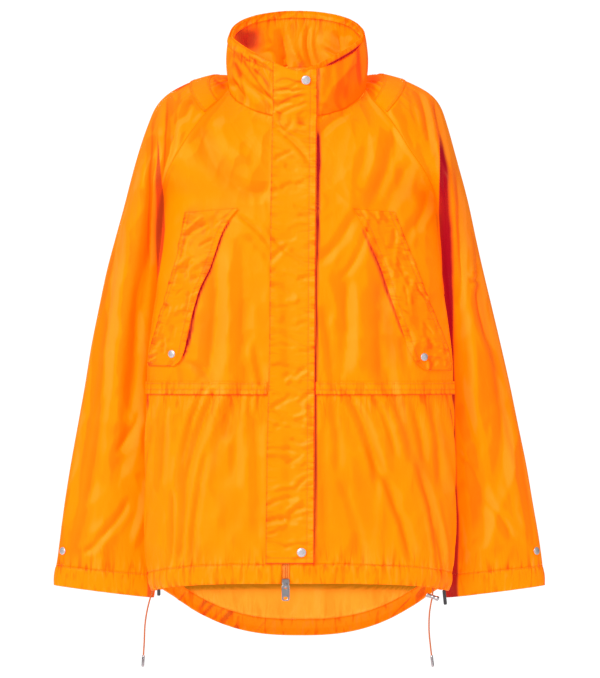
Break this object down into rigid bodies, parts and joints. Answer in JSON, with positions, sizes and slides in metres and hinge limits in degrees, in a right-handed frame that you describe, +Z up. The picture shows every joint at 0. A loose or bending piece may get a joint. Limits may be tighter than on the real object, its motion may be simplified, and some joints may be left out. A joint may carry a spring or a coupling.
{
  "type": "rain jacket",
  "caption": "Hooded-collar nylon rain jacket in its worn hollow shape: raglan sleeves, storm flap over a zip, slanted pocket flaps, drawcord hem with a longer back.",
  "frame": {"origin": "middle of the neck's base, level with the shoulder tops, where the wearer's shoulders carry the jacket", "axes": "+Z up, front faces -Y, +X to the viewer's right as seen from the front"},
  "size_m": [0.6881, 0.2531, 0.919],
  "materials": {
    "orange_nylon": "thin crisp nylon with a soft sheen",
    "zip_tape": "woven tape, matte",
    "nickel": "satin nickel",
    "drawcord": "braided cord, matte",
    "black_elastic": "matte elastic"
  },
  "bodies": {
    "jacket": {"front_left": "orange_nylon", "front_right": "orange_nylon", "skirt_left": "orange_nylon", "skirt_right": "orange_nylon", "hem_front_left": "orange_nylon", "hem_front_right": "orange_nylon", "back": "orange_nylon", "hem_back": "orange_nylon", "sleeve_left": "orange_nylon", "sleeve_right": "orange_nylon", "cuff_left": "orange_nylon", "cuff_right": "orange_nylon", "shoulder_strap_left": "orange_nylon", "shoulder_strap_right": "orange_nylon", "collar_outer": "orange_nylon", "collar_inner": "orange_nylon", "collar_rim": "orange_nylon", "storm_flap": "orange_nylon", "pocket_flap_left": "orange_nylon", "pocket_flap_right": "orange_nylon", "waist_welt_left": "orange_nylon", "waist_welt_right": "orange_nylon", "zip_tape": "zip_tape", "zip_chain": "zip_tape", "zip_slider": "nickel", "snap_collar": "nickel", "snap_hem": "nickel", "snap_pocket_left": "nickel", "snap_pocket_right": "nickel", "snap_cuff_left": "nickel", "snap_cuff_right": "nickel", "cord_left": "drawcord", "cord_right": "drawcord", "cord_tip_left": "nickel", "cord_tip_right": "nickel", "cord_lock_right": "nickel", "elastic_loop_left": "black_elastic", "elastic_loop_right": "black_elastic"},
    "zip_pull": {"zip_pull": "nickel"}
  },
  "joints": [
    {"name": "zip_pull_tilt", "type": "hinge", "parent": "jacket", "child": "zip_pull", "pos_m": [-0.0196, -0.1361, -0.7], "axis": [-1, 0, 0], "range_deg": [-15, 160]}
  ]
}
